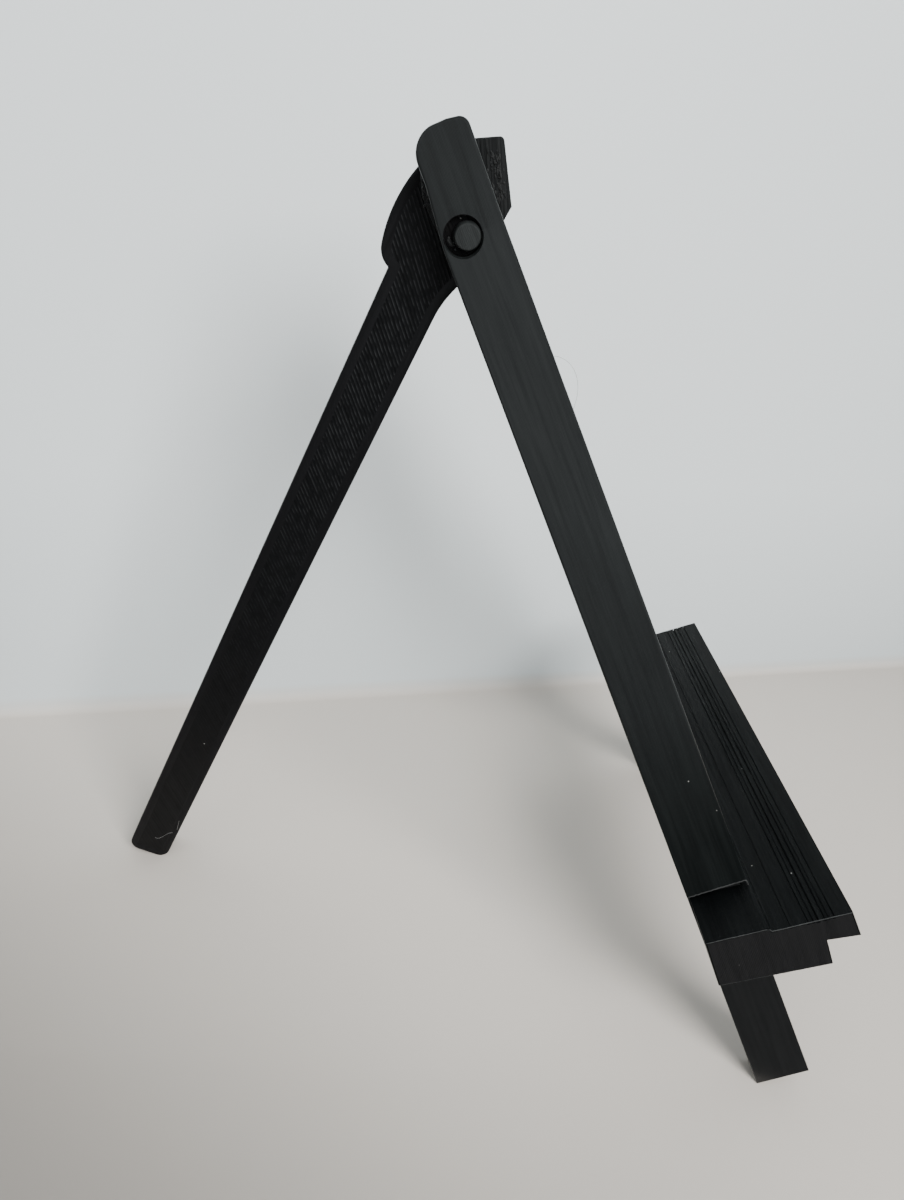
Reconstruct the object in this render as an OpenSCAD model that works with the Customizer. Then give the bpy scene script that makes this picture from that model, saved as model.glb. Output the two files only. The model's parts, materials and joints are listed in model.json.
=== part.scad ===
// Folding A-frame display stand for an album or a picture.
// Two splayed front legs carry a stepped shelf and are tied at the top by a hinge block.
// A rear leg swings on a pin through the legs and the block, and folds in behind the shelf.
//
// Two drawing frames are used. The front frame has its origin on the hinge axis, X out of
// the front of the stand, Y along the hinge, and Z up the middle of the front frame. The
// rear leg has its own frame at the same point, with Z up along the leg.

/* [Stand] */
// Angle between the front frame and the rear leg when the stand is open
open_angle = 49.9; // [40:0.1:56]
// Length of the shelf, from end to end
shelf_len = 150; // [130:1:180]
// Distance from the hinge down to the shelf, along the front frame
shelf_drop = 180; // [150:1:200]
// Distance from the hinge down to the feet, along the front frame
foot_drop = 247; // [225:1:270]

/* [Front legs] */
// Splay of each front leg away from the middle
splay = 14.35; // [8:0.05:18]
// Width of a front leg, seen from the front
leg_w = 9; // [7:0.5:11]
// Front leg behind the hinge axis, at the hinge
leg_back = 5.95; // [5:0.05:7]
// Front leg ahead of the hinge axis, at the hinge
leg_front = 9.45; // [8:0.05:11]
// Growth in the leg's thickness from the hinge to the foot, as a fraction
leg_growth = 0.17; // [0:0.01:0.25]
// Height of the legs above the hinge axis
leg_top = 24; // [22:0.5:27]
// Outer faces of the legs from the middle, at the hinge
half_stack = 14; // [13:0.5:16]
// Front shoulder where the leg narrows to its foot
shoulder_front = 2.1; // [1:0.1:3]
// Outer shoulder where the leg narrows to its foot
shoulder_side = 1.2; // [0.6:0.1:2]

/* [Shelf] */
// Depth of the shelf, from its back to its front edge
shelf_depth = 38.8; // [32:0.1:46]
// Height of the shelf body at the back
body_h = 18.6; // [14:0.1:22]
// Height of the front lip
lip_h = 10; // [7:0.1:12]
// Depth of the front lip ahead of the body
lip_depth = 8.2; // [5:0.1:11]
// Depth of the raised strip along the back of the shelf
strip_depth = 17.2; // [14:0.1:20]
// Step down from the raised strip to the ledge
strip_step = 1.35; // [0.6:0.05:2]
// Fall of the top towards the front, in millimetres per millimetre of depth
top_fall = 0.066; // [0:0.002:0.12]

/* [Rear leg] */
// Length of the rear leg below the hinge axis
rear_len = 231; // [210:1:250]
// Back face of the rear leg behind the hinge axis
rear_back = 13.1; // [12:0.1:15]
// Front face of the rear leg ahead of the hinge axis
rear_front = 2.3; // [1:0.1:4]
// How much the rear leg narrows towards its foot, on its front face
rear_taper = 1.4; // [0:0.1:3]
// Width of the rear leg along the hinge
rear_w = 10; // [8:0.5:10.6]
// Rounding of the rear foot's corners
foot_round = 3.5; // [1:0.1:5]
// How far the rear leg's head bulges behind the hinge axis
head_back = 18; // [17.6:0.1:18.4]
// How far the rear leg's head reaches ahead of the hinge axis
head_front = 7; // [6:0.1:7.5]

/* [Hinge] */
// Radius of the hinge pin
pin_r = 3; // [2.5:0.1:3.4]
// Radial clearance of the pin in the rear leg
pin_gap = 0.06; // [0.03:0.01:0.1]
// Radius of the pin's head
pin_head_r = 3.7; // [3.5:0.1:4]
// Radius of the recess around the pin's head
recess_r = 4.6; // [4.5:0.1:5.2]
// Tilt of the hinge block forward of the front frame
block_tilt = 17; // [10:0.5:24]
// Height of the hinge block above the hinge axis
block_top = 19.7; // [19:0.1:21]
// Thickness of the bridge over the rear leg's head
bridge_h = 3.4; // [3:0.1:3.4]

/* [Hidden] */
$fn = 64;

side_gap = 0.35;                             // running gap beside and over the rear leg's head
heel_taper = 0.5;                            // narrowing of the rear leg at the back of its foot
stop_gap = 0.1;                              // gap left at the stop when the stand is open
cheek_in = rear_w / 2 + side_gap;            // inner face of the hinge block's cheeks
cheek_out = 8.2;                             // outer face of the cheeks, inner face of the legs
seat_gap = 0.15;                             // glue gap around a tenon in its notch
shoulder_gap = 0.5;                          // gap between a leg's shoulder and the shelf
glue_gap = 0.02;                             // gap between the pin and the bores it is fixed in
recess_at = [-0.4, 0.2];                     // centre of the recess around the pin's head
head_depth = 2.6;                            // depth of that recess
head_rise = 0.4;                             // how far the pin's head stands out of the leg
head_chamfer = 1;                            // chamfer round the pin's head
cap_wall = 0.8;                              // end wall of the cap
big = 400;                                   // longer than anything in the stand

// Thickness of a front leg on each side of its centre plane, s below the hinge
function growth(s) = 1 + leg_growth * s / 250;
function leg_back_at(s) = leg_back * growth(max(s, 0));
function leg_front_at(s) = leg_front * growth(max(s, 0));

// The foot of a front leg touches the floor with the corner at its back. The rear foot
// touches with the round of its front corner. The lean follows from those two points.
foot_back = leg_back_at(foot_drop);
rear_corner_x = rear_front - rear_taper - foot_round;
rear_corner_s = rear_len - foot_round;
touch_n = rear_corner_x * cos(open_angle) - rear_corner_s * sin(open_angle) + foot_back;
touch_s = foot_drop - rear_corner_x * sin(open_angle) - rear_corner_s * cos(open_angle);
lean = atan2(touch_n, touch_s) + acos(foot_round / norm([touch_n, touch_s]));
rear_lean = open_angle - lean;

// Place of the hinge axis, with the middle of the stand's footprint at X = 0
hinge_z = foot_back * sin(lean) + foot_drop * cos(lean);
front_reach = (leg_front_at(foot_drop) - shoulder_front) * cos(lean) + foot_drop * sin(lean);
rear_reach = (rear_back - heel_taper - foot_round) * cos(rear_lean)
    + (rear_len - foot_round) * sin(rear_lean) + foot_round;
hinge_x = (rear_reach - front_reach) / 2;

module front_frame() {
    translate([hinge_x, 0, hinge_z]) rotate([0, -lean, 0]) children();
}

module rear_frame() {
    translate([hinge_x, 0, hinge_z]) rotate([0, rear_lean, 0]) children();
}

// Stands a profile drawn as [forward, up] on edge, from y0 to y1
module plate(y0, y1) {
    translate([0, y1, 0]) rotate([90, 0, 0]) linear_extrude(y1 - y0) children();
}

// Side view of a front leg from the height z1 down to z0, with front shaved off its front
module leg_side(z0, z1, shave, grow = 0) {
    polygon([
        [-leg_back_at(-z1) - grow, z1], [-leg_back_at(-z0) - grow, z0],
        [leg_front_at(-z0) - shave + grow, z0], [leg_front_at(-z1) - shave + grow, z1],
    ]);
}

// A stretch of the splayed leg. Its outer face passes half_stack from the middle at the hinge
module splayed(z0, z1, shave, inset, grow = 0) {
    intersection() {
        plate(-big, 0) leg_side(z0, z1, shave, grow);
        translate([0, -half_stack, 0]) rotate([-splay, 0, 0])
            translate([-big / 2, inset - grow, -big])
            cube([big, leg_w - inset + 2 * grow, 2 * big]);
    }
}

// Rounded top of a front leg: a large round at the back, a small one at the front
module leg_head_side() {
    back_r = 6.1;
    front_r = 2.6;
    front_fall = 1;
    head_back_x = -4.4;
    back_swell_z = 16;
    overlap = 14;
    front_z = leg_top - front_fall;
    union() {
        translate([head_back_x + back_r, leg_top - back_r]) circle(back_r);
        translate([leg_front - front_r, front_z - front_r]) circle(front_r);
        polygon([
            [head_back_x, leg_top - back_r], [head_back_x + back_r, leg_top],
            [leg_front - front_r, front_z], [leg_front, front_z - front_r],
            [leg_front, -overlap], [head_back_x, -overlap],
        ]);
    }
    polygon([
        [head_back_x, back_swell_z], [-leg_back, 2],
        [-leg_back_at(overlap), -overlap], [leg_front_at(overlap), -overlap],
        [leg_front, 0], [0, back_swell_z],
    ]);
}

module leg() {
    difference() {
        union() {
            plate(-half_stack, -cheek_out) leg_head_side();
            splayed(-shelf_drop + shoulder_gap, 0, 0, 0);
            splayed(-foot_drop, -shelf_drop + shoulder_gap, shoulder_front, shoulder_side);
        }
        // flat seat against the hinge block
        translate([-big / 2, -cheek_out, -big / 2]) cube([big, big, big]);
        // bore for the pin, and the recess for its head
        rotate([90, 0, 0]) cylinder(r = pin_r + glue_gap, h = big);
        translate([recess_at[0], -half_stack + head_depth, recess_at[1]]) rotate([90, 0, 0])
            cylinder(r = recess_r, h = big);
    }
}

module left_leg() {
    color([0.16, 0.17, 0.17]) front_frame() leg();
}

module right_leg() {
    color([0.16, 0.17, 0.17]) front_frame() mirror([0, 1, 0]) leg();
}

// End view of the shelf: a raised back strip, a step, a sloping ledge, and a lip in front
module shelf_side() {
    back = -leg_back_at(shelf_drop) + 0.7;
    step = back + strip_depth;
    front = back + shelf_depth;
    top = -shelf_drop;
    low = top - top_fall * strip_depth - strip_step;
    edge = low - top_fall * (shelf_depth - strip_depth);
    polygon([
        [back, top], [step, top - top_fall * strip_depth], [step + 0.4, low],
        [front, edge], [front + 0.6, edge - lip_h],
        [front - lip_depth, edge - lip_h + 1.7], [front - lip_depth - 0.2, edge - lip_h * 1.83],
        [back - 0.8, top - body_h],
    ]);
}

module shelf() {
    color([0.12, 0.13, 0.14]) front_frame() difference() {
        plate(-shelf_len / 2, shelf_len / 2) shelf_side();
        // open-backed notches for the two legs
        for (side = [0, 1]) mirror([0, side, 0]) {
            splayed(-foot_drop, -shelf_drop + 5, shoulder_front, shoulder_side, seat_gap);
            translate([-5, 0, 0])
                splayed(-foot_drop, -shelf_drop + 5, shoulder_front + 2, shoulder_side, seat_gap);
        }
    }
}

// Side view of the hinge block, upright in its own tilted frame
module block_side() {
    polygon([
        [-9, block_top + 0.6], [10.2, block_top + 0.1], [10.7, block_top - 0.5],
        [11.5, 5], [5, -4], [-4.5, -4], [-8, 5], [-9.2, 9],
    ]);
}

module hinge_block() {
    color([0.2, 0.21, 0.21]) front_frame() difference() {
        rotate([0, block_tilt, 0]) difference() {
            plate(-cheek_out, cheek_out) block_side();
            // slot for the rear leg's head, under the bridge
            translate([-20, -cheek_in, -20]) cube([40, 2 * cheek_in, 20 + block_top - bridge_h]);
        }
        rotate([90, 0, 0]) cylinder(r = pin_r + glue_gap, h = big, center = true);
    }
}

// Points of an arc, from one angle to another
function arc(center, r, from, to, steps = 8) =
    [for (i = [0:steps]) center + r * [cos(from + (to - from) * i / steps), sin(from + (to - from) * i / steps)]];

// A point given in the hinge block's frame, turned into the open rear leg's frame
function from_block(p) = [
    p[0] * cos(open_angle - block_tilt) - p[1] * sin(open_angle - block_tilt),
    p[0] * sin(open_angle - block_tilt) + p[1] * cos(open_angle - block_tilt),
];

// Side view of the whole rear leg, anticlockwise from the front of its foot. Its head bulges
// at the back, and the flat on top of the head comes up under the block's bridge as the stop
module rear_side() {
    foot_x = rear_front - rear_taper - foot_round;
    heel_x = -rear_back + heel_taper + foot_round;
    foot_z = -rear_len + foot_round;
    neck_r = 26.8;
    neck_z = -21.5;
    neck_turn = acos(1 - (head_front - rear_front) / neck_r);
    crown_r = block_top - bridge_h - side_gap;
    stop_z = block_top - bridge_h - stop_gap;
    bulge_r = 35;
    bulge_at = [bulge_r - head_back, -2.8];
    corner_r = 5.8;
    corner_turn = 14;
    corner_at = bulge_at + (bulge_r - corner_r) * [-cos(corner_turn), -sin(corner_turn)];
    shoulder_turn = acos((-rear_back - corner_at[0]) / corner_r);
    polygon(concat(
        arc([foot_x, foot_z], foot_round, -90, 0),
        arc([rear_front + neck_r, neck_z], neck_r, 180, 180 - neck_turn, 12),
        [[head_front, 7]],
        arc([0, 0], crown_r, 98, 118, 6),
        [from_block([-1.5, stop_z]), from_block([-8.8, stop_z])],
        arc(bulge_at, bulge_r, 161, 180 + corner_turn, 16),
        arc(corner_at, corner_r, 180 + corner_turn, 360 - shoulder_turn, 8),
        arc([heel_x, foot_z], foot_round, 180, 270)
    ));
}

module rear_leg() {
    color([0.1, 0.1, 0.11]) rear_frame() difference() {
        plate(-rear_w / 2, rear_w / 2) rear_side();
        rotate([90, 0, 0]) cylinder(r = pin_r + pin_gap, h = big, center = true);
    }
}

// Pin with a chamfered head at the left leg and a plain end at the right leg
module hinge_pin() {
    face = -half_stack - head_rise;
    seat = -half_stack + head_depth;
    end = half_stack + head_rise - cap_wall - 0.5;
    color([0.22, 0.23, 0.23]) front_frame() rotate([-90, 0, 0]) rotate_extrude()
        polygon([
            [0, face], [pin_head_r - head_chamfer, face], [pin_head_r, face + head_chamfer],
            [pin_head_r, seat], [pin_r, seat], [pin_r, end], [0, end],
        ]);
}

// Cap pressed over the plain end of the pin
module pin_cap() {
    face = half_stack + head_rise;
    seat = half_stack - head_depth;
    bore_r = pin_r + glue_gap;
    bore_end = face - cap_wall - 0.4;
    color([0.22, 0.23, 0.23]) front_frame() rotate([-90, 0, 0]) rotate_extrude()
        polygon([
            [0, face], [pin_head_r - head_chamfer, face], [pin_head_r, face - head_chamfer],
            [pin_head_r, seat], [bore_r, seat], [bore_r, bore_end], [0, bore_end],
        ]);
}

left_leg();
right_leg();
shelf();
hinge_block();
rear_leg();
hinge_pin();
pin_cap();
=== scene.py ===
# %% [markdown]
# A folding display stand, printed in black plastic: two splayed front legs, a stepped shelf, a
# hinge block and a rear leg that swings on a pin. The solid model gives every piece its place.
# Here each piece gets the surface of a real print: softened edges, fine layer lines, the
# diagonal lines of a top skin, and the rough scars that removed supports leave behind.

# %% The frame
import json
import math

import bpy
import numpy as np
from mathutils import Matrix, Vector


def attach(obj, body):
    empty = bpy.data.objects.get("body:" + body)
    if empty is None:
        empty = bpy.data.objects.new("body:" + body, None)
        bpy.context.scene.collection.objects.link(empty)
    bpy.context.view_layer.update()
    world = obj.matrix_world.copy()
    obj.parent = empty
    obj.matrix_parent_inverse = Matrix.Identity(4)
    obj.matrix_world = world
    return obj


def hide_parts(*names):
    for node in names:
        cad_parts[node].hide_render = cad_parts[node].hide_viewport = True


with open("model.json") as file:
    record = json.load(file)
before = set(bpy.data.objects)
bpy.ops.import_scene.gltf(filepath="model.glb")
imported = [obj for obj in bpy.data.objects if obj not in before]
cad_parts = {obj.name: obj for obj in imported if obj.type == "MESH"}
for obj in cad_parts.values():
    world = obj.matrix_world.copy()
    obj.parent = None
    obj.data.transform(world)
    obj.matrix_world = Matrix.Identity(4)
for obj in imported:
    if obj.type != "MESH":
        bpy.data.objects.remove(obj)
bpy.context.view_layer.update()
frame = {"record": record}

# %% [markdown]
# Two drawing frames make the work easy, the same two in which the solid model is drawn. Both
# have their origin on the hinge axis and Y along it. The front frame's Z runs up the leaning
# front legs, and the rear frame's Z runs up the rear leg. The hinge's place comes from the
# record. The leans are the solid model's: with them the front and the rear feet both reach the
# floor.

# %% Drawing frames
MM = 0.001
hinge_at = np.array(frame["record"]["behaviour"]["joints"][0]["pos_m"])
FRONT_LEAN = math.radians(30.247)
REAR_LEAN = math.radians(19.653)


def turned(angle):
    """The turn about Y that takes X to the angle's (cosine, sine) in (X, Z), and Z to (minus sine, cosine)."""
    c, s = math.cos(angle), math.sin(angle)
    return np.array([[c, 0, -s], [0, 1, 0], [s, 0, c]])


def front_to_row(p):
    """Points in millimetres in the front frame, turned back by its lean and moved, in metres."""
    return np.asarray(p, float) @ turned(FRONT_LEAN).T * MM + hinge_at


def rear_to_row(p):
    """Points in millimetres in the rear frame, turned forward by its lean and moved, in metres."""
    return np.asarray(p, float) @ turned(-REAR_LEAN).T * MM + hinge_at


print("hinge at, m:", hinge_at)

# %% [markdown]
# The camera stands close to the left side, a little above the hinge, and looks down along the
# hinge axis. It is rolled a few degrees, as a hand holds a phone. Being so close, it sees the
# near leg and the shelf's end much larger than the far ones.

# %% Camera
camera_data = bpy.data.cameras.new("camera")
camera_data.sensor_fit = "VERTICAL"
camera_data.sensor_height = 36.0
camera_data.lens = 25.02
camera_data.clip_start = 0.01
camera = bpy.data.objects.new("camera", camera_data)
bpy.context.scene.collection.objects.link(camera)
camera_at = np.array([-0.03256, -0.22443, 0.23538])
camera_right = np.array([0.99047, -0.02334, 0.13572])
camera_up = np.array([-0.10773, 0.48260, 0.86919])
camera_back = np.cross(camera_right, camera_up)
camera_place = np.eye(4)
camera_place[:3, :3] = np.column_stack([camera_right, camera_up, camera_back])
camera_place[:3, 3] = camera_at
camera.matrix_world = Matrix(camera_place.tolist())
bpy.context.scene.camera = camera
print("camera at, m:", camera_at)

# %% [markdown]
# A few small makers save much repeating: two make objects, and the rest make materials and
# their nodes.

# %% Small makers


def link(obj):
    """Puts an object into the scene and returns it."""
    bpy.context.scene.collection.objects.link(obj)
    return obj


def mesh_object(name, points, faces):
    """A smooth-shaded object from points in metres and lists of corner numbers."""
    mesh = bpy.data.meshes.new(name)
    mesh.from_pydata(np.asarray(points).tolist(), [], [list(map(int, f)) for f in faces])
    mesh.update()
    mesh.shade_smooth()
    return link(bpy.data.objects.new(name, mesh))


# %% Node helpers


def feed(tree, node, inputs):
    """Feeds or sets a node's inputs, given as (socket, value or output) pairs."""
    for socket, value in inputs:
        if isinstance(value, bpy.types.NodeSocket):
            tree.links.new(value, node.inputs[socket])
        else:
            node.inputs[socket].default_value = value
    return node


def wire(tree, node_type, inputs=(), **settings):
    """Adds a node, sets its options, and feeds its inputs."""
    node = tree.nodes.new(node_type)
    for key, value in settings.items():
        setattr(node, key, value)
    return feed(tree, node, inputs)


def math_node(tree, operation, a, b=0.0, c=0.0):
    """A Math node's output."""
    return wire(tree, "ShaderNodeMath", [(0, a), (1, b), (2, c)], operation=operation).outputs[0]


def map_range(tree, value, low, high, to_low=0.0, to_high=1.0, **settings):
    """A value carried from the range low to high into another range, and kept inside it."""
    ends = [("From Min", low), ("From Max", high), ("To Min", to_low), ("To Max", to_high)]
    return wire(tree, "ShaderNodeMapRange", [("Value", value), *ends], **settings).outputs[0]


def new_material(name):
    """A material with its node tree and its Principled shader."""
    m = bpy.data.materials.new(name)
    m.use_nodes = True
    return m, m.node_tree, m.node_tree.nodes["Principled BSDF"]


# %% [markdown]
# The stand is on a light grey table top in front of a pale wall. One sheet bent upwards with a
# tight curve makes both. Its fold runs slightly askew behind the stand.

# %% Table and wall
STAGE_REACH = 2.5
FLOOR_COLOUR = (0.65, 0.605, 0.555, 1)
# The wall's darker foot colour is painted shade near the fold.
WALL_FOOT_COLOUR = (0.69, 0.75, 0.775, 1)
WALL_COLOUR = (0.85, 0.91, 0.935, 1)
fold_left = np.array([-0.185, 0.0615])
fold_right = np.array([0.282, 0.1856])
along = (fold_right - fold_left) / np.linalg.norm(fold_right - fold_left)
away = np.array([-along[1], along[0]])
fold_radius = 0.004


def sweep_sheet(name):
    """A sheet: flat on the floor up to the fold, a quarter turn of small radius, then straight up."""
    turn = np.linspace(0, math.pi / 2, 9)
    depth = np.concatenate([[-STAGE_REACH, -0.5], fold_radius * np.sin(turn), [fold_radius]])
    height = np.concatenate([[0.0, 0.0], fold_radius * (1 - np.cos(turn)), [STAGE_REACH]])
    across = np.linspace(-3, 3, 7)
    u, k = np.meshgrid(across, np.arange(len(depth)), indexing="ij")
    flat = fold_left + u[..., None] * along + depth[k][..., None] * away
    points = np.concatenate([flat, height[k][..., None]], axis=2).reshape(-1, 3)
    n = len(depth)
    i, j = np.meshgrid(np.arange(len(across) - 1), np.arange(n - 1), indexing="ij")
    a = (i * n + j).ravel()
    return mesh_object(name, points, np.column_stack([a, a + n, a + n + 1, a + 1]))


table_top = sweep_sheet("table_and_wall")


def stage_material():
    """Pale paint, coloured by height: a warm grey floor, and a cooler wall that gets lighter over its first
    11 cm; the wall's darker foot is painted shade near the fold. It fades to 0.38 of this towards the floor's
    near left corner, a painted falloff of the light, and to 0.8 over 30 cm to the right, a painted shade. The
    back of the sheet is clear, so the stand can be seen from behind the wall."""
    m, t, shader = new_material("stage")
    where = wire(t, "ShaderNodeTexCoord").outputs["Object"]
    part = wire(t, "ShaderNodeSeparateXYZ", [(0, where)]).outputs
    ramp = wire(t, "ShaderNodeValToRGB", [(0, part["Z"])])
    low, middle = ramp.color_ramp.elements
    low.position, low.color = 0.001, FLOOR_COLOUR
    middle.position, middle.color = 0.006, WALL_FOOT_COLOUR
    ramp.color_ramp.elements.new(0.11).color = WALL_COLOUR
    reach = wire(t, "ShaderNodeVectorMath", [(0, where), (1, (0.6, 1.0, 0.0))], operation="DOT_PRODUCT")
    # Painted light falloff towards the near left, and painted shade towards the right.
    near_left = map_range(t, reach.outputs["Value"], -0.21, -0.01, 0.38, interpolation_type="SMOOTHSTEP")
    right = map_range(t, part["X"], 0.0, 0.3, 1.0, 0.8)
    share = math_node(t, "MULTIPLY", near_left, right)
    toned = wire(t, "ShaderNodeVectorMath", [(0, ramp.outputs[0]), ("Scale", share)], operation="SCALE")
    feed(t, shader, [("Roughness", 0.7), ("Specular IOR Level", 0.3), ("Base Color", toned.outputs[0])])
    back = wire(t, "ShaderNodeNewGeometry").outputs["Backfacing"]
    clear = wire(t, "ShaderNodeBsdfTransparent").outputs[0]
    either = wire(t, "ShaderNodeMixShader", [(0, back), (1, shader.outputs[0]), (2, clear)])
    feed(t, t.nodes["Material Output"], [("Surface", either.outputs[0])])
    return m


table_top.data.materials.append(stage_material())
print("stage faces:", len(table_top.data.polygons))

# %% [markdown]
# The light is soft daylight from the side the stand is seen from. The room is bright at eye
# level there, and dim overhead and behind. Black plastic shows little but what it mirrors, so
# this is what parts its faces: the upright ones at the top mirror the window's side, and the
# low ones mirror a dark card. The card lies in front of the stand, and only gloss sees it.

# %% Light
world = bpy.data.worlds.new("room")
bpy.context.scene.world = world
world.use_nodes = True
room = world.node_tree
way = wire(room, "ShaderNodeTexCoord").outputs["Generated"]
parts = wire(room, "ShaderNodeSeparateXYZ", [(0, way)]).outputs
height_tone = map_range(room, parts["Z"], 0.15, 0.75, 1.0, 0.45)
side_tone = map_range(room, parts["Y"], -0.8, 0.4, 0.85, 0.5)
room_tone = math_node(room, "MULTIPLY", height_tone, side_tone)
feed(room, room.nodes["Background"], [("Color", (0.93, 0.975, 1.0, 1)), ("Strength", room_tone)])


def window(name, place, towards, size, power, colour):
    """An area lamp of the given size in metres, turned to face a point."""
    data = bpy.data.lights.new(name, "AREA")
    data.shape = "RECTANGLE"
    data.size, data.size_y = size
    data.energy = power
    data.color = colour
    lamp = link(bpy.data.objects.new(name, data))
    facing = Vector((np.array(towards) - np.array(place)).tolist()).to_track_quat("-Z", "Y")
    lamp.matrix_world = Matrix.Translation(place) @ facing.to_matrix().to_4x4()
    lamp.visible_glossy = False


STAND_MIDDLE = (0, 0, 0.1)
window("window", (0.52, -1.0, 0.95), STAND_MIDDLE, (0.75, 0.75), 29, (1.0, 0.985, 0.96))
window("ceiling", (-0.1, -0.3, 1.5), STAND_MIDDLE, (1.6, 1.6), 6, (0.97, 0.99, 1.0))

CARD_HALF, CARD_FRONT, CARD_BACK, CARD_Z = 1.5, -1.6, -0.079, 0.001
card_points = [(-CARD_HALF, CARD_FRONT, CARD_Z), (CARD_HALF, CARD_FRONT, CARD_Z),
               (CARD_HALF, CARD_BACK, CARD_Z), (-CARD_HALF, CARD_BACK, CARD_Z)]
dark_card = mesh_object("dark_card", card_points, [(0, 1, 2, 3)])
dark, dark_tree, dark_shader = new_material("dark_card")
feed(dark_tree, dark_shader, [("Base Color", (0.05, 0.05, 0.055, 1)), ("Roughness", 0.9)])
dark_card.data.materials.append(dark)
for ray in ("camera", "diffuse", "transmission", "shadow", "volume_scatter"):
    setattr(dark_card, "visible_" + ray, False)
print("lamps: 2, and a dark card for the gloss")

# %% [markdown]
# Nearly every piece of this stand is a flat outline given a thickness, as a slicer would see it.
# One maker builds them all: it carries the outline from one side to the other as a stack of
# rings, and pulls the first and last rings inwards along a quarter circle, so that each edge is
# softened as molten plastic softens it. The two sides may lean, as the splayed legs' sides do.

# %% The slab maker


def arc(centre, radius, start, end, steps=10):
    """Points of an arc: the centre plus the radius times (cosine, sine) of angles from start to end, in
    degrees."""
    turn = np.radians(np.linspace(start, end, steps + 1))
    return np.asarray(centre) + radius * np.column_stack([np.cos(turn), np.sin(turn)])


def anticlockwise(outline):
    """The outline in anticlockwise order: reversed where the shoelace area is negative."""
    x, z = np.asarray(outline, float).T
    area = np.sum(x * np.roll(z, -1) - np.roll(x, -1) * z)
    return np.column_stack([x, z]) if area > 0 else np.column_stack([x, z])[::-1]


def shrunk(outline, by):
    """The outline moved inwards: each corner slides along the mean of its two edges' normals, lengthened by
    twice over one plus their dot product."""
    edge = np.roll(outline, -1, axis=0) - outline
    edge = edge / np.maximum(np.linalg.norm(edge, axis=1, keepdims=True), 1e-9)
    normal = np.column_stack([edge[:, 1], -edge[:, 0]])
    before = np.roll(normal, 1, axis=0)
    lengthen = np.maximum(1 + np.sum(normal * before, axis=1, keepdims=True), 0.5)
    return outline - by * (normal + before) / lengthen


def ring_faces(n, rings):
    """Four-sided faces between neighbouring rings of n points, facing outwards."""
    i, k = np.meshgrid(np.arange(n), np.arange(rings - 1), indexing="xy")
    a, b = i + k * n, (i + 1) % n + k * n
    return np.stack([a, a + n, b + n, b], axis=-1).reshape(-1, 4)


SHARP_ANGLE = math.radians(38)
FLAT_RING = 0.12
BORDER_SLOPE = 0.15
FLOOR_DROP = 0.07


def sharpened(piece):
    """The piece with a crease wherever two faces meet at more than the sharp angle."""
    piece.data.set_sharp_from_angle(angle=SHARP_ANGLE)
    return piece


def slab(name, outline, near, far, to_row, soft=0.45, steps=4, split_z=None, band=None):
    """The outline carried from the near side to the far side. near and far give Y for a height Z. The rings
    near a side shrink by soft times (1 - sin) and move by soft times (1 - cos) of an angle from 0 to 90
    degrees. One more ring in the flat keeps the shading flat. With band, each side has a border that wide and
    a floor below it. With split_z, each side is two faces that meet at that height, so that it can bend."""
    outline = anticlockwise(outline)
    n = len(outline)
    turn = np.linspace(0, math.pi / 2, steps + 1)
    shrink, move = soft * (1 - np.sin(turn)), soft * (1 - np.cos(turn))
    shrink, move = np.concatenate([[soft + FLAT_RING], shrink]), np.concatenate([[0.0], move])
    if band:
        shrink = np.concatenate([band + BORDER_SLOPE * np.array([2, 1, 0]), shrink])
        move = np.concatenate([[FLOOR_DROP, FLOOR_DROP, 0.0], move])
    rings = []
    for side, sign, order in ((near, 1, slice(None)), (far, -1, slice(None, None, -1))):
        for s, m in list(zip(shrink, move))[order]:
            flat = shrunk(outline, s)
            rings.append(np.column_stack([flat[:, 0], side(flat[:, 1]) + sign * m, flat[:, 1]]))
    points = to_row(np.concatenate(rings))
    faces = ring_faces(n, len(rings)).tolist()
    first, last = np.arange(n), np.arange(n) + (len(rings) - 1) * n
    if split_z is None:
        faces += [first.tolist(), last[::-1].tolist()]
    else:
        i, j = np.nonzero(np.abs(outline[:, 1] - split_z) < 1e-6)[0]
        for cap, order in ((first, 1), (last, -1)):
            for half in (cap[i:j + 1], np.concatenate([cap[j:], cap[:i + 1]])):
                faces.append(half[::order].tolist())
    print(name, "faces:", len(faces))
    return sharpened(mesh_object(name, points, faces))


def carve(piece, *cutters):
    """Cuts the cutters out of the piece for good and removes them."""
    for cutter in cutters:
        cut = piece.modifiers.new("cut", "BOOLEAN")
        cut.operation, cut.solver, cut.object = "DIFFERENCE", "EXACT", cutter
    graph = bpy.context.evaluated_depsgraph_get()
    done = bpy.data.meshes.new_from_object(piece.evaluated_get(graph))
    piece.modifiers.clear()
    piece.data = done
    for cutter in cutters:
        bpy.data.objects.remove(cutter)
    sharpened(piece)


def mirrored(piece, name):
    """A copy of the piece on the other side: Y changes sign and every face is turned round."""
    mesh = piece.data.copy()
    points = np.empty(len(mesh.vertices) * 3)
    mesh.vertices.foreach_get("co", points)
    points = points.reshape(-1, 3) * (1, -1, 1)
    mesh.vertices.foreach_set("co", points.ravel())
    mesh.flip_normals()
    mesh.update()
    return link(bpy.data.objects.new(name, mesh))


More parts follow.
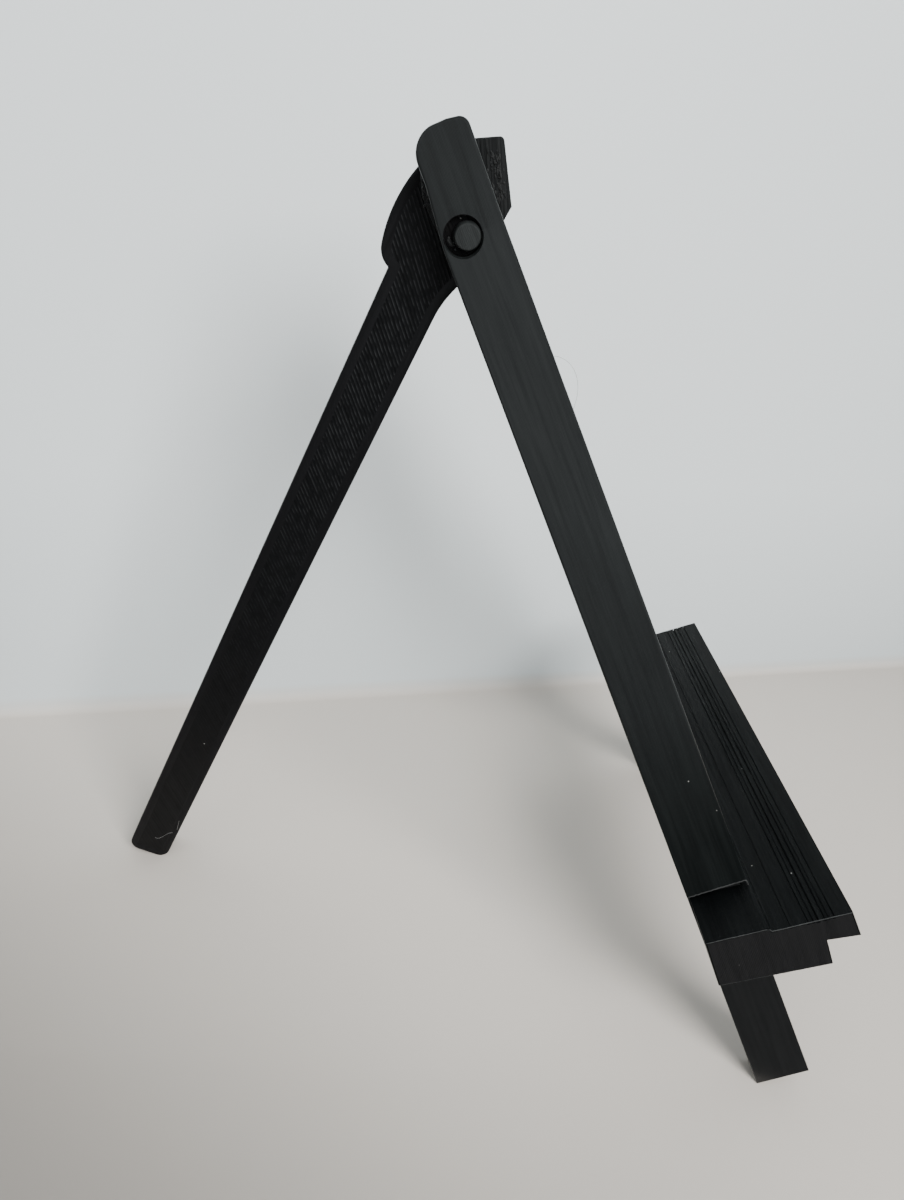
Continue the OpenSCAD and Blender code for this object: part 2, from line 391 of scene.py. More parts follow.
def lathe(name, profile, axis_at, to_row, steps=72):
    """A profile of (radius, Y) points turned about an axis along Y through axis_at = (X, Z)."""
    profile = np.asarray(profile, float)
    turn = np.linspace(0, 2 * math.pi, steps, endpoint=False)
    r, t = np.meshgrid(profile[:, 0], turn, indexing="ij")
    y = np.repeat(profile[:, 1], steps)
    x, z = axis_at[0] + r * np.cos(t), axis_at[1] + r * np.sin(t)
    points = np.column_stack([x.ravel(), y, z.ravel()])
    faces = ring_faces(steps, len(profile)).tolist()
    last = (len(profile) - 1) * steps
    faces += [list(range(steps)), list(range(last, last + steps))[::-1]]
    return sharpened(mesh_object(name, to_row(points), faces))


# %% [markdown]
# A front leg is a straight bar that gets a little thicker towards its foot. Its sides splay
# outwards below the hinge and stand upright above it. The top is rounded, with a large round
# at the back. The pin's head sits in a round recess that nearly breaks out of the leg's back.
# Below a square shoulder the leg narrows to a foot, which goes through the shelf.

# %% Front leg sizes
SPLAY = math.radians(14.35)
HALF_STACK = 14.0
CHEEK_OUT = 8.2
LEG_W = 9.0
LEG_BACK, LEG_FRONT = 5.95, 9.45
SHOULDER_Z = -179.5
FOOT_Z = -247.0
RECESS_AT = (-0.55, 0.45)
RECESS_R, RECESS_MOUTH_R, RECESS_REACH = 4.4, 4.8, 4.9
RECESS_FLOOR_Y = 11.4


def thicker(z):
    """How many times as thick a front leg is at a height: 17% more for each 250 mm below the hinge."""
    return 1 + 0.17 * np.maximum(-np.asarray(z, float), 0) / 250


def leg_back_x(z):
    """The back edge of a front leg."""
    return -LEG_BACK * thicker(z)


def leg_front_x(z):
    """The front edge of a front leg."""
    return LEG_FRONT * thicker(z)


def leg_outer_y(z):
    """The left leg's outer side: upright above the hinge, and below it the height times the tangent of the
    splay further out."""
    return -HALF_STACK + np.minimum(np.asarray(z, float), 0) * math.tan(SPLAY)


def leg_inner_y(z):
    """The left leg's inner side: parallel to the outer one, but no nearer the middle than the hinge block."""
    width = LEG_W / math.cos(SPLAY)
    return np.minimum(-HALF_STACK + width + np.asarray(z, float) * math.tan(SPLAY), -CHEEK_OUT)


# %% Front legs
def leg_outline():
    """Anticlockwise from the shoulder: up the front edge, round the top and down the back edge."""
    knots = np.array([SHOULDER_Z, -120.0, -60.0, -14.0])
    front = np.column_stack([leg_front_x(knots), knots])
    back = np.column_stack([leg_back_x(knots), knots])[::-1]
    return np.concatenate([
        front, [[LEG_FRONT, 0.0]],
        arc((6.85, 20.9), 2.6, 0, 84, 8), [[5.0, 23.9]],
        arc((1.7, 17.9), 6.1, 84, 180, 18), [[-4.45, 13.5], [-5.4, 5.0], [-LEG_BACK, 0.0]], back,
    ])


def foot_outline(grow=0.0, back=0.0):
    """The narrow foot, from 6 mm above the shoulder down to its square end. With grow it is the notch that
    takes the foot: wider by that much in front and by back behind, and 30 mm longer."""
    z = np.array([SHOULDER_Z + 6.0, FOOT_Z - (30.0 if grow else 0.0)])
    front = leg_front_x(z) - 2.1 + grow
    rear = leg_back_x(z) - back
    return [[rear[0], z[0]], [rear[1], z[1]], [front[1], z[1]], [front[0], z[0]]]


def recess_cutter():
    """A drill for the pin head's recess, flared at the mouth."""
    profile = [(RECESS_MOUTH_R, -20.0), (RECESS_MOUTH_R, -14.1), (RECESS_R + 0.05, -13.75),
               (RECESS_R, -RECESS_FLOOR_Y)]
    return lathe("recess_cutter", profile, RECESS_AT, front_to_row)


left_leg = slab("left_leg_print", leg_outline(), leg_outer_y, leg_inner_y, front_to_row, soft=0.55,
                split_z=0.0)
carve(left_leg, recess_cutter())
foot_inset = 1.2 / math.cos(SPLAY)
left_foot = slab("left_foot_print", foot_outline(), lambda z: leg_outer_y(z) + foot_inset, leg_inner_y,
                 front_to_row, soft=0.35)
right_leg = mirrored(left_leg, "right_leg_print")
right_foot = mirrored(left_foot, "right_foot_print")

# %% [markdown]
# The shelf is one long printed bar. From back to front its top has a raised strip, a small step
# down and a shallow ledge. The ledge was printed nearly level, so the printer's steps show on
# it as long terraces, the deepest one ahead of the middle. The lip in front hangs over the body.

# %% Shelf
SHELF_Z = -180.0
SHELF_HALF = 75.0
SHELF_DEPTH = 38.8
STEP_AT = 17.2
LEDGE_FALL = 0.066
FIT_GAP = 0.15
shelf_back = float(leg_back_x(SHELF_Z)) + 0.7
shelf_front = shelf_back + SHELF_DEPTH
TERRACES = ((16.4, 0.14, 0.3), (21.1, 0.25, 0.4), (22.4, 0.22, 0.4), (23.7, 0.5, 0.6), (25.4, 0.32, 0.5),
            (26.4, 0.2, 0.4), (27.9, 0.3, 0.5))


def ledge_z(x):
    """The top of the ledge: it falls by the same small amount for each millimetre towards the front."""
    return SHELF_Z - LEDGE_FALL * (x - shelf_back) - 1.35


def shelf_outline():
    """The shelf's end view, clockwise from the top of its back, with a four-point groove at each terrace."""
    step = shelf_back + STEP_AT
    top = [[shelf_back, SHELF_Z], [step - 0.5, SHELF_Z - LEDGE_FALL * (STEP_AT - 0.5)],
           [step, SHELF_Z - LEDGE_FALL * STEP_AT - 0.2],
           [step + 0.4, ledge_z(step) + 0.1], [step + 0.9, ledge_z(step + 0.9)]]
    for x, depth, width in TERRACES:
        top += [[x - width / 2, ledge_z(x - width / 2)], [x - width / 4, ledge_z(x) - depth],
                [x + width / 4, ledge_z(x) - depth], [x + width / 2, ledge_z(x + width / 2)]]
    edge = float(ledge_z(shelf_front))
    return top + [
        [shelf_front, edge], [shelf_front + 0.6, edge - 10.0], [shelf_front - 8.2, edge - 8.3],
        [shelf_front - 8.4, edge - 18.3], [shelf_back - 0.8, SHELF_Z - 18.6],
    ]


def level(y):
    """A side that stands upright at Y."""
    return lambda z: np.full(np.shape(z), float(y))


shelf = slab("shelf_print", shelf_outline(), level(-SHELF_HALF), level(SHELF_HALF), front_to_row,
             soft=0.4)
notch = slab("notch_left", foot_outline(FIT_GAP, 20.0), lambda z: leg_outer_y(z) + foot_inset - FIT_GAP,
             lambda z: leg_inner_y(z) + FIT_GAP, front_to_row, soft=0.05, steps=1)
other_notch = mirrored(notch, "notch_right")
carve(shelf, notch, other_notch)

# %% [markdown]
# The hinge block ties the two legs together. It is a bridge over the rear leg's head with a
# cheek down each side, and it leans back 17 degrees less than the legs do. It was printed in
# the air over supports, so its sides are rough.

# %% Hinge block
BLOCK_TILT = math.radians(17.0)
CHEEK_IN = 5.35
BLOCK_TOP = 19.7
SLOT_TOP = 16.3


def block_to_row(p):
    """Points in the block's own frame: leaned forward by its tilt, then placed as the front frame is."""
    return front_to_row(np.asarray(p, float) @ turned(-BLOCK_TILT).T)


block_outline = np.concatenate([
    [[-4.5, -4.0], [5.0, -4.0], [11.5, 5.0]],
    arc((9.6, 18.7), 1.1, 0, 85, 6), [[-9.0, BLOCK_TOP + 0.6], [-9.2, 9.0], [-8.0, 5.0]],
])
hinge_block = slab("hinge_block_print", block_outline, level(-CHEEK_OUT), level(CHEEK_OUT), block_to_row,
                   soft=0.3)
slot_outline = [[-20.0, -20.0], [20.0, -20.0], [20.0, SLOT_TOP], [-20.0, SLOT_TOP]]
slot = slab("slot_cutter", slot_outline, level(-CHEEK_IN), level(CHEEK_IN), block_to_row, soft=0.05,
            steps=1)
carve(hinge_block, slot)

# %% [markdown]
# The rear leg was printed lying on its side. Its head bulges at the back in one long curve and
# has a flat on top that stops it under the block's bridge. A printed skin has a smooth border,
# where the nozzle followed the outline, around diagonal lines, so each side gets a border and
# a floor that lies a little below it.

# %% Rear leg
REAR_HALF = 5.0


def from_block(x, z):
    """A point of the block's frame in the open rear leg's frame: turned by the angle between them."""
    a = FRONT_LEAN + REAR_LEAN - BLOCK_TILT
    return [x * math.cos(a) - z * math.sin(a), x * math.sin(a) + z * math.cos(a)]


def rear_outline():
    """Anticlockwise from the front of the foot, with the same arcs as the solid model but more steps."""
    neck_turn = math.degrees(math.acos(1 - (7.0 - 2.3) / 26.8))
    down = math.radians(14)
    corner = np.array([17.0, -2.8]) - 29.2 * np.array([math.cos(down), math.sin(down)])
    shoulder = math.degrees(math.acos((-13.1 - corner[0]) / 5.8))
    return np.concatenate([
        arc((-2.6, -227.5), 3.5, -90, 0, 10),
        arc((29.1, -21.5), 26.8, 180, 180 - neck_turn, 20), [[7.0, 7.0]],
        arc((0, 0), 15.95, 98, 118, 8), [from_block(-1.5, 16.2), from_block(-8.8, 16.2)],
        arc((17.0, -2.8), 35.0, 161, 194, 30), arc(corner, 5.8, 195, 360 - shoulder, 12),
        arc((-9.1, -227.5), 3.5, 180, 270, 10),
    ])


rear_leg = slab("rear_leg_print", rear_outline(), level(-REAR_HALF), level(REAR_HALF), rear_to_row,
                soft=0.45, band=2.3)

# %% [markdown]
# The pin's head is a short disc with a sloped rim and a flat end, whose edge is soft. The far
# end wears a cap of the same shape. Both are profiles turned about a line just ahead of the
# hinge axis.

# %% Hinge pin and cap
PIN_AT = (0.4, 0.0)
PIN_R, CAP_BORE_R, HEAD_R = 3.0, 3.02, 3.4
PIN_END_Y = 13.1
HEAD_PROFILE = np.array([[0.2, 14.6], [2.7, 14.6], [2.8, 14.6], [2.95, 14.5], [3.05, 14.3], [3.35, 13.2],
                         [HEAD_R, 12.9]])
pin_profile = np.concatenate([
    HEAD_PROFILE * (1, -1), [[HEAD_R, -11.6], [PIN_R, -11.5], [PIN_R, PIN_END_Y], [0.2, PIN_END_Y]],
])
hinge_pin = lathe("hinge_pin_print", pin_profile, PIN_AT, front_to_row)
cap_bore = [[0.2, 13.2], [CAP_BORE_R, 13.2], [CAP_BORE_R, 11.4], [HEAD_R, 11.4]]
pin_cap = lathe("pin_cap_print", np.concatenate([cap_bore, HEAD_PROFILE[::-1]]), PIN_AT, front_to_row)
print("pin faces:", len(hinge_pin.data.polygons), "cap faces:", len(pin_cap.data.polygons))

# %% [markdown]
# Where supports were broken away the plastic is scarred: short raised strokes, most of them
# upright, close together near the block's front edge, and a few at the back of each recess.
# Each is a low dome on a long oval foot. All the domes of a patch are worked out at once, from
# one table of random places with a fixed seed.

# %% Support scars


def scar_patch(name, count, low, high, y, seed, to_row, lean=0.12, crowd=1.0):
    """Domes on the side at Y. Each has two rings of eight points and a tip: the foot ring is an oval of half
    width w and half length l, the upper ring is 0.6 of it at 0.7 of the height. Places fill the box from low
    to high in (X, Z), and a power crowd below 1 draws them towards its high X."""
    draw = np.random.default_rng(seed).random((count, 6))
    x = low[0] + (high[0] - low[0]) * draw[:, 0] ** crowd
    z = low[1] + (high[1] - low[1]) * draw[:, 1]
    w, l = 0.14 + 0.26 * draw[:, 2], 0.3 + 0.9 * draw[:, 3] ** 2
    tall, tilt = 0.06 + 0.2 * draw[:, 4], lean * (draw[:, 5] - 0.5) * 4
    turn = np.linspace(0, 2 * math.pi, 8, endpoint=False)
    across, along_z = w[:, None] * np.cos(turn), l[:, None] * np.sin(turn)
    c, s = np.cos(tilt)[:, None], np.sin(tilt)[:, None]
    ring_x, ring_z = across * c + along_z * s, along_z * c - across * s
    out = math.copysign(1.0, y)
    sunk, raised = np.full_like(ring_x, y - 0.05 * out), y + out * 0.7 * tall[:, None] + 0 * ring_x
    base = np.stack([x[:, None] + ring_x, sunk, z[:, None] + ring_z], axis=-1)
    upper = np.stack([x[:, None] + 0.6 * ring_x, raised, z[:, None] + 0.6 * ring_z], axis=-1)
    tip = np.stack([x, y + out * tall, z], axis=-1)[:, None]
    points = np.concatenate([base, upper, tip], axis=1).reshape(-1, 3)
    k = np.arange(8)
    one = [[a, (a + 1) % 8, (a + 1) % 8 + 8, a + 8] for a in k] + [[a + 8, (a + 1) % 8 + 8, 16] for a in k]
    one.append(list(range(7, -1, -1)))
    step = (np.arange(count) * 17)[:, None]
    faces = [f for shape in one for f in (np.array(shape)[None] + step).tolist()]
    if out > 0:
        faces = [f[::-1] for f in faces]
    return mesh_object(name, to_row(points), faces)


def block_scars(side):
    """The patches on one side of the hinge block: ahead of the leg and behind it."""
    y = CHEEK_OUT * (-1 if side == "left" else 1)
    return [
        scar_patch(f"scars_front_{side}", 46, (7.4, 5.6), (9.4, 17.6), y, 3, block_to_row, crowd=0.6),
        scar_patch(f"scars_lines_{side}", 26, (5.0, 6.0), (10.2, 17.2), y, 8, block_to_row, lean=0.03),
        scar_patch(f"scars_back_{side}", 60, (-9.0, 6.5), (-7.0, 18.6), y, 5, block_to_row, lean=0.3),
    ]


scars = block_scars("left") + block_scars("right")
scars += [scar_patch(f"scars_recess_{name}", 9, (-4.3, -2.7), (-3.1, 2.2), y, 4, front_to_row, lean=0.06)
          for name, y in (("left", -RECESS_FLOOR_Y), ("right", RECESS_FLOOR_Y))]
print("support scars:", len(scars), "patches")

# %% [markdown]
# The nozzle pulls fine strings of plastic behind it. Three are left: two lie on the rear leg's
# foot and one stands off the left leg's front edge. Thin wavering pale tubes along the shoulders
# of the front legs and round the shelf's end faces are painted highlights on those edges. All of
# them are thin tubes round a path.

# %% Strings and painted highlights


def curl(knots, steps=28):
    """The Bezier curve of the knots: each knot weighted by its share (n over i) t^i (1 - t)^(n - i)."""
    knots = np.asarray(knots, float)
    t = np.linspace(0, 1, steps)[:, None]
    n = len(knots) - 1
    weights = np.concatenate([math.comb(n, i) * t ** i * (1 - t) ** (n - i) for i in range(n + 1)], axis=1)
    return weights @ knots


def tube(name, path, radius, to_row, sides=6):
    """A tube round a path of points. Each ring is the path's point plus the radius times the cosine of one
    direction square to the path and the sine of another."""
    path = np.asarray(path, float)
    along_path = np.gradient(path, axis=0)
    along_path /= np.linalg.norm(along_path, axis=1, keepdims=True)
    first = np.cross(along_path, (0.05, 1.0, 0.2))
    first /= np.linalg.norm(first, axis=1, keepdims=True)
    second = np.cross(along_path, first)
    turn = np.linspace(0, 2 * math.pi, sides, endpoint=False)
    ring = np.cos(turn)[:, None] * first[:, None] + np.sin(turn)[:, None] * second[:, None]
    rings = path[:, None] + radius * ring
    last = (len(path) - 1) * sides
    faces = ring_faces(sides, len(path))[:, ::-1].tolist()
    faces += [list(range(sides))[::-1], list(range(last, last + sides))]
    return mesh_object(name, to_row(rings.reshape(-1, 3)), faces)


def wavering(path, by, seed, steps=40):
    """The path cut into short even steps, each point moved up or down by up to half the given amount."""
    path = np.asarray(path, float)
    far = np.concatenate([[0.0], np.cumsum(np.linalg.norm(np.diff(path, axis=0), axis=1))])
    at = np.linspace(0, far[-1], steps)
    points = np.column_stack([np.interp(at, far, path[:, k]) for k in range(3)])
    points[:, 2] += by * (np.random.default_rng(seed).random(steps) - 0.5)
    return points


foot_string = tube("foot_string", curl([
    (-5.5, -5.05, -223.0), (-3.2, -5.3, -223.4), (-2.8, -5.4, -218.2), (-0.7, -5.1, -218.2),
]), 0.05, rear_to_row)
short_string = tube("short_string", curl([
    (-0.5, -5.1, -211.7), (-0.2, -5.3, -213.8), (0.2, -5.1, -216.0),
]), 0.05, rear_to_row)
edge_string = tube("edge_string", curl([
    (9.4, -21.6, -31.5), (13.6, -23.0, -33.0), (14.8, -24.2, -39.0), (9.7, -24.6, -44.8),
]), 0.035, front_to_row)
# The pale tube along each leg's shoulder is a painted highlight on that edge.
highlight_z = SHOULDER_Z + 0.25
highlight_y = float(leg_outer_y(highlight_z)) + 0.1
highlight_front = float(leg_front_x(highlight_z))
highlight_path = wavering([
    (float(leg_back_x(highlight_z)) + 0.3, highlight_y, highlight_z), (highlight_front - 1.0, highlight_y, highlight_z + 0.2),
    (highlight_front - 0.1, highlight_y, highlight_z + 0.1), (highlight_front - 0.05, highlight_y - 0.1, highlight_z - 2.0),
], 0.24, 11)
shoulder_highlight_left = tube("shoulder_highlight_left", highlight_path, 0.2, front_to_row)
shoulder_highlight_right = tube("shoulder_highlight_right", highlight_path * (1, -1, 1), 0.2, front_to_row)


def end_highlights(side):
    """Thin pale beads along the bottom and the top of one end of the shelf: painted highlights on its edges."""
    y = side * (SHELF_HALF - 0.12)
    edge = float(ledge_z(shelf_front))
    under = [(shelf_back - 0.6, y, SHELF_Z - 18.4), (shelf_front - 8.6, y, edge - 18.1)]
    over = [(shelf_back + 0.2, y, SHELF_Z - 0.15), (shelf_back + 17.0, y, SHELF_Z - 1.35),
            (shelf_back + 17.6, y, float(ledge_z(shelf_back + 17.6)) - 0.12),
            (shelf_front - 0.2, y, edge - 0.15)]
    name = "left" if side < 0 else "right"
    return [tube(f"end_highlight_under_{name}", wavering(under, 0.08, 21), 0.13, front_to_row),
            tube(f"end_highlight_over_{name}", wavering(over, 0.08, 22), 0.13, front_to_row)]


edge_highlights = [shoulder_highlight_left, shoulder_highlight_right] + end_highlights(-1) + end_highlights(1)
print("strings: 3, seams:", len(edge_highlights))

# %% [markdown]
# All the pieces are the same black plastic, but each shows the way it was printed, and some are
# also painted lighter or darker for light and shade. The front legs, the shelf and the block show
# layer lines that run along them, because their layers lie parallel to the front of the stand. The
# rear leg's sides are a top skin of diagonal lines. Both patterns need places measured in
# millimetres along the print's own directions, which a few dot products give.

# %% Places on the print


def distance_along(tree, to_row, direction):
    """Millimetres from the hinge along a direction of a drawing frame, from Object coordinates."""
    where = wire(tree, "ShaderNodeTexCoord").outputs["Object"]
    away = wire(tree, "ShaderNodeVectorMath", [(0, where), (1, tuple(hinge_at))], operation="SUBTRACT")
    unit = (to_row([direction]) - to_row([(0, 0, 0)]))[0] / MM
    pairs = [(0, away.outputs[0]), (1, tuple(unit / MM))]
    return wire(tree, "ShaderNodeVectorMath", pairs, operation="DOT_PRODUCT").outputs["Value"]


def print_place(tree, to_row, directions):
    """Millimetres from the hinge along three directions of a drawing frame."""
    parts = [distance_along(tree, to_row, direction) for direction in directions]
    return wire(tree, "ShaderNodeCombineXYZ", list(enumerate(parts))).outputs[0]


def between_heights(tree, to_row, high, low, least):
    """A value that falls from 1 at the height high to least at the height low, in the drawing frame."""
    return map_range(tree, distance_along(tree, to_row, (0, 0, 1)), low, high, least)


def new_group(name, inputs, outputs):
    """An empty node group and its two end nodes. It takes a Place and numbers, given with their usual values,
    and puts out numbers."""
    group = bpy.data.node_groups.new(name, "ShaderNodeTree")
    group.interface.new_socket("Place", in_out="INPUT", socket_type="NodeSocketVector")
    for socket, value in inputs.items():
        made = group.interface.new_socket(socket, in_out="INPUT", socket_type="NodeSocketFloat")
        made.default_value = value
    for socket in outputs:
        group.interface.new_socket(socket, in_out="OUTPUT", socket_type="NodeSocketFloat")
    return group, wire(group, "NodeGroupInput"), wire(group, "NodeGroupOutput")


# %% [markdown]
# Printed lines: a sine wave across the lines is the ridge of each one. A noise stretched nearly
# thirtyfold along the lines makes some of them prouder and shinier than others, which is the
# streaky look of real layers. The crest is the top of each ridge, broken up by a rounder noise.

# %% Printed lines
ALONG_LINES = 0.035
lines_group, lines_in, lines_out = new_group(
    "printed_lines", {"Pitch": 0.3, "Unevenness": 0.5}, ["Height", "Streak", "Crest"])
place, pitch, unevenness = (lines_in.outputs[name] for name in ("Place", "Pitch", "Unevenness"))


def noise(tree, place, scale, detail, **more):
    """A noise of the given number of blobs to the millimetre, from 0 to 1."""
    pairs = [("Vector", place), ("Scale", scale), ("Detail", detail), *more.items()]
    return wire(tree, "ShaderNodeTexNoise", pairs).outputs[0]


across = math_node(lines_group, "MULTIPLY_ADD", noise(lines_group, place, 0.12, 2.0), 0.35,
                   wire(lines_group, "ShaderNodeSeparateXYZ", [(0, place)]).outputs[0])
phase = math_node(lines_group, "MULTIPLY", math_node(lines_group, "DIVIDE", across, pitch), math.tau)
ridge = math_node(lines_group, "MULTIPLY_ADD", math_node(lines_group, "SINE", phase), 0.5, 0.5)
stretched = wire(lines_group, "ShaderNodeVectorMath", [(0, place), (1, (1.0, ALONG_LINES, ALONG_LINES))],
                 operation="MULTIPLY").outputs[0]
streak = map_range(lines_group, noise(lines_group, stretched, 0.9, 4.0, Roughness=0.65), 0.32, 0.68)
uneven_share = math_node(lines_group, "MULTIPLY", streak, unevenness)
grain = map_range(lines_group, noise(lines_group, place, 0.7, 2.0), 0.38, 0.62)
feed(lines_group, lines_out, [
    ("Height", math_node(lines_group, "MULTIPLY_ADD", uneven_share, 2.0, ridge)),
    ("Streak", streak),
    ("Crest", math_node(lines_group, "MULTIPLY", math_node(lines_group, "POWER", ridge, 7.0), grain)),
])
print("printed_lines nodes:", len(lines_group.nodes))

# %% [markdown]
# Dust: small pale specks, few and far between, lie on every piece. A cell pattern gives each
# cell one random point and one random colour. A speck shows where a place is very close to the
# point and the colour says yes.

# %% Dust
dust_group, dust_in, dust_out = new_group("dust", {"Amount": 0.12}, ["Mask"])
cell = wire(dust_group, "ShaderNodeTexVoronoi", [("Vector", dust_in.outputs["Place"]), ("Scale", 0.22)])
close = map_range(dust_group, cell.outputs["Distance"], 0.05, 0.02)
chance = wire(dust_group, "ShaderNodeSeparateColor", [(0, cell.outputs["Color"])]).outputs[0]
chosen = math_node(dust_group, "LESS_THAN", chance, dust_in.outputs["Amount"])
feed(dust_group, dust_out, [("Mask", math_node(dust_group, "MULTIPLY", close, chosen))])
print("dust nodes:", len(dust_group.nodes))

# %% [markdown]
# The plastic itself: almost black, with a soft shine. Streaks change its colour and its
# roughness a little. The lines push its surface up and down, by a hundredth of a millimetre on
# the front legs and a tenth on the skin of the rear leg.

# %% Printed plastic
OWN_DIRECTIONS = [(1, 0, 0), (0, 1, 0), (0, 0, 1)]
DIAGONAL = math.sqrt(0.5)
SKIN_DIRECTIONS = [(DIAGONAL, 0, DIAGONAL), (0, 1, 0), (DIAGONAL, 0, -DIAGONAL)]
PLASTIC_IOR = 1.46
CREST_COLOUR = (0.09, 0.094, 0.1, 1)
DUST_COLOUR = (0.35, 0.35, 0.34, 1)
FADED_LINES = 0.12


def colour_mix(tree, factor, below, above):
    """A blend of two colours: the first where the factor is 0, the second where it is 1."""
    pairs = [("Factor", factor), ("A", below), ("B", above)]
    return wire(tree, "ShaderNodeMix", pairs, data_type="RGBA").outputs["Result"]


def printed_plastic(name, dark, light, rough, pitch, depth_mm, uneven, to_row=front_to_row,
                    directions=OWN_DIRECTIONS, dusty=0.1, shine=0.5, fade=None, shaded_shine=None, crest=0.0):
    """A black printed plastic. dark and light are its streak colours and rough its lowest and highest
    roughness. pitch is the width of a line in millimetres, depth_mm its height, and uneven how much the streaks
    add to that. dusty is the share of cells with a speck. fade is a pair of heights in the drawing frame
    between which the lines grow weaker. The pair for the shaded shine gives heights between which the shine
    grows weaker, a painted shade in the reflections, with the share of it that is left. crest is how pale the
    tops of the lines are."""
    m, t, shader = new_material(name)
    place = print_place(t, to_row, directions)
    lines = wire(t, "ShaderNodeGroup", [("Place", place), ("Pitch", pitch), ("Unevenness", uneven)],
                 node_tree=lines_group)
    height, tops, streak = (lines.outputs[socket] for socket in ("Height", "Crest", "Streak"))
    blotch = math_node(t, "MULTIPLY", noise(t, place, 0.035, 3.0), 0.4)
    tone = math_node(t, "MULTIPLY_ADD", streak, 0.6, blotch)
    colour = colour_mix(t, tone, (*dark, 1), (*light, 1))
    if fade:
        kept = between_heights(t, to_row, *fade, FADED_LINES)
        height, tops = math_node(t, "MULTIPLY", height, kept), math_node(t, "MULTIPLY", tops, kept)
    if crest:
        colour = colour_mix(t, math_node(t, "MULTIPLY", tops, crest), colour, CREST_COLOUR)
    dust = wire(t, "ShaderNodeGroup", [("Place", place), ("Amount", dusty)], node_tree=dust_group)
    colour = colour_mix(t, dust.outputs["Mask"], colour, DUST_COLOUR)
    # Painted shade: the shine fades between two heights.
    if shaded_shine:
        shine = math_node(t, "MULTIPLY", between_heights(t, to_row, *shaded_shine), shine)
    bump = wire(t, "ShaderNodeBump", [("Height", height), ("Strength", 1.0), ("Distance", depth_mm * MM)])
    feed(t, shader, [
        ("IOR", PLASTIC_IOR), ("Specular IOR Level", shine), ("Base Color", colour),
        ("Roughness", map_range(t, tone, 0.0, 1.0, rough[1], rough[0])), ("Normal", bump.outputs[0]),
    ])
    return m


# %% [markdown]
# One plastic for each kind of surface. They differ in how dark they are, how much they shine
# and how deep their lines are. The front legs lose nearly all their shine towards the shelf, and
# the rear leg loses some of its own on the way down: painted shade in their reflections.

# %% The plastics
leg_plastic = printed_plastic(
    "leg_plastic", (0.003, 0.0036, 0.0037), (0.0108, 0.0127, 0.0127), (0.28, 0.42), 0.3, 0.008, 0.8,
    dusty=0.16, shine=0.6, shaded_shine=(-125.0, -165.0, 0.05))
# The recess is painted darker and less shiny than the leg: painted shade in the hollow.
recess_plastic = printed_plastic(
    "recess_plastic", (0.002, 0.002, 0.0022), (0.008, 0.0075, 0.0078), (0.45, 0.6), 0.9, 0.06, 1.2,
    shine=0.2)
foot_plastic = printed_plastic(
    "foot_plastic", (0.0045, 0.0047, 0.0048), (0.012, 0.0125, 0.0127), (0.3, 0.42), 0.3, 0.008, 0.8)
# The shelf's top is painted darker and its ends lighter: painted shade and painted light on one print.
shelf_plastic = printed_plastic(
    "shelf_plastic", (0.0008, 0.001, 0.0012), (0.0035, 0.0044, 0.0046), (0.42, 0.6), 0.3, 0.03, 1.4,
    dusty=0.2, shine=0.12)
end_plastic = printed_plastic(
    "shelf_end_plastic", (0.006, 0.006, 0.0062), (0.0125, 0.0125, 0.0128), (0.4, 0.5), 0.45, 0.012, 0.6)
block_plastic = printed_plastic(
    "block_plastic", (0.003, 0.0034, 0.0036), (0.014, 0.015, 0.015), (0.36, 0.6), 0.9, 0.05, 1.6,
    to_row=block_to_row)
# The rear leg's plastics are painted darker than the front legs', as the shade it stands in; its lines and skin
# are its own.
border_plastic = printed_plastic(
    "rear_border_plastic", (0.002, 0.002, 0.0023), (0.006, 0.006, 0.007), (0.42, 0.58), 0.45, 0.012, 0.8,
    to_row=rear_to_row, shine=0.34, shaded_shine=(-60.0, -215.0, 0.6))
skin_plastic = printed_plastic(
    "rear_skin_plastic", (0.001, 0.0011, 0.0013), (0.004, 0.0043, 0.0049), (0.38, 0.56), 0.95, 0.1, 0.3,
    to_row=rear_to_row, directions=SKIN_DIRECTIONS, shine=0.3, fade=(-60.0, -175.0),
    shaded_shine=(-60.0, -215.0, 0.6), crest=0.28)
pin_plastic = printed_plastic(
    "pin_plastic", (0.01, 0.0115, 0.0115), (0.023, 0.0255, 0.0255), (0.32, 0.44), 0.45, 0.02, 0.6)
scar_plastic = printed_plastic(
    "scar_plastic", (0.006, 0.0065, 0.0065), (0.03, 0.031, 0.031), (0.26, 0.45), 0.5, 0.01, 0.8)
string_plastic = printed_plastic(
    "string_plastic", (0.12, 0.12, 0.12), (0.3, 0.3, 0.3), (0.3, 0.5), 0.5, 0.01, 0.8, to_row=rear_to_row)
# A pale plastic: painted highlights along edges, and recess scars painted lighter against the shade they lie
# in.
pale_scar_and_highlight_plastic = printed_plastic(
    "pale_scar_and_highlight_plastic", (0.02, 0.021, 0.021), (0.06, 0.062, 0.062), (0.3, 0.45), 0.5, 0.01, 0.8)
print("materials:", len(bpy.data.materials))

# %% [markdown]
# Some pieces wear two plastics. The recess in a leg is painted darker and duller than the leg,
# as shade in the hollow. The shelf's end faces are painted lighter than its top, as lit faces
# beside a shaded one. The rear leg's skin lies inside its border.

# %% Which piece wears what


def cover(pieces, *materials):
    """Gives pieces their materials, the first one on every face."""
    for piece in pieces:
        piece.data.materials.clear()
        for m in materials:
            piece.data.materials.append(m)


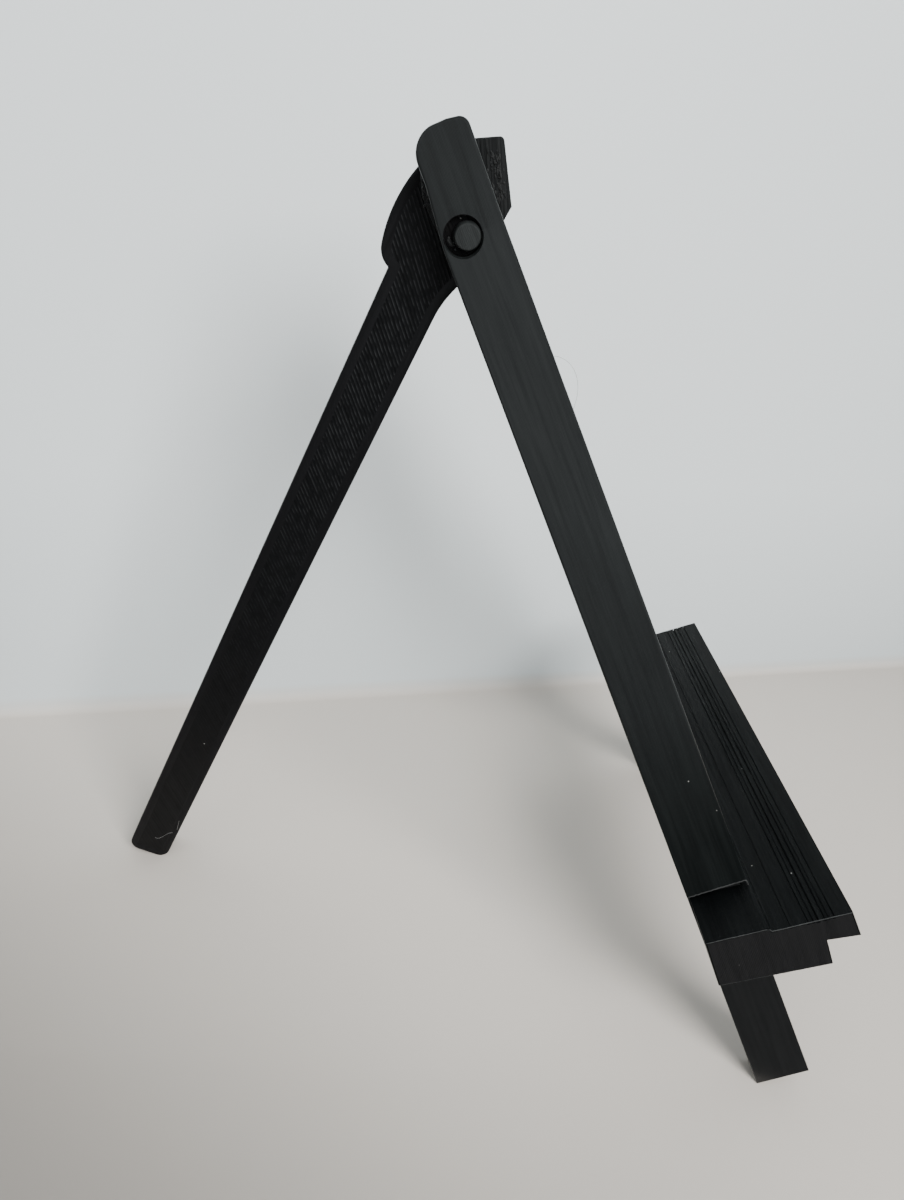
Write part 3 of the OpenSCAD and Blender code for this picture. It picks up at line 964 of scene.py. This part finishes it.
cover([left_leg, right_leg], leg_plastic, recess_plastic)
cover([left_foot, right_foot], foot_plastic)
cover([shelf], shelf_plastic, end_plastic)
cover([hinge_block], block_plastic)
cover([rear_leg], border_plastic, skin_plastic)
cover([hinge_pin, pin_cap], pin_plastic)
cover(scars[:-2], scar_plastic)
# The recess scars and the pale edge tubes: light painted into the recess's shade, and painted highlights.
cover(scars[-2:] + edge_highlights, pale_scar_and_highlight_plastic)
cover([foot_string, short_string, edge_string], string_plastic)

# The end faces get the lighter plastic: painted light.
for face in shelf.data.polygons:
    face.material_index = int(abs(face.normal.y) > 0.99)
# The recess faces get the darker plastic: painted shade.
recess_middle = front_to_row([(RECESS_AT[0], 0.0, RECESS_AT[1])])[0]
for leg in (left_leg, right_leg):
    for face in leg.data.polygons:
        away_from = math.dist((face.center.x, face.center.z), recess_middle[[0, 2]])
        inside = (RECESS_FLOOR_Y - 0.4) * MM < abs(face.center.y) < (HALF_STACK - 0.1) * MM
        face.material_index = int(inside and away_from < RECESS_REACH * MM)
# The floors inside the rear leg's borders are its only faces with more than four corners.
for face in rear_leg.data.polygons:
    face.material_index = int(len(face.vertices) > 4)

# %% [markdown]
# Everything but the rear leg belongs to the front frame, which stands still. The strings on the
# rear leg's foot swing with it. Feet, scars, strings and painted highlights stand for no node of
# their own.

# %% What rides on what
for piece, node, body, slot_name in (
    (left_leg, "left_leg", "front_frame", "frame_plastic"),
    (left_foot, None, "front_frame", "frame_plastic"),
    (right_leg, "right_leg", "front_frame", "frame_plastic"),
    (right_foot, None, "front_frame", "frame_plastic"),
    (shelf, "shelf", "front_frame", "shelf_plastic"),
    (hinge_block, "hinge_block", "front_frame", "frame_plastic"),
    (rear_leg, "rear_leg", "rear_strut", "rear_plastic"),
    (hinge_pin, "hinge_pin", "front_frame", "frame_plastic"),
    (pin_cap, "pin_cap", "front_frame", "frame_plastic"),
):
    if node:
        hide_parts(node)
    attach(piece, body)
for piece in [*scars, edge_string, *edge_highlights[:2]]:
    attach(piece, "front_frame")
for piece in edge_highlights[2:]:
    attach(piece, "front_frame")
for piece in (foot_string, short_string):
    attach(piece, "rear_strut")
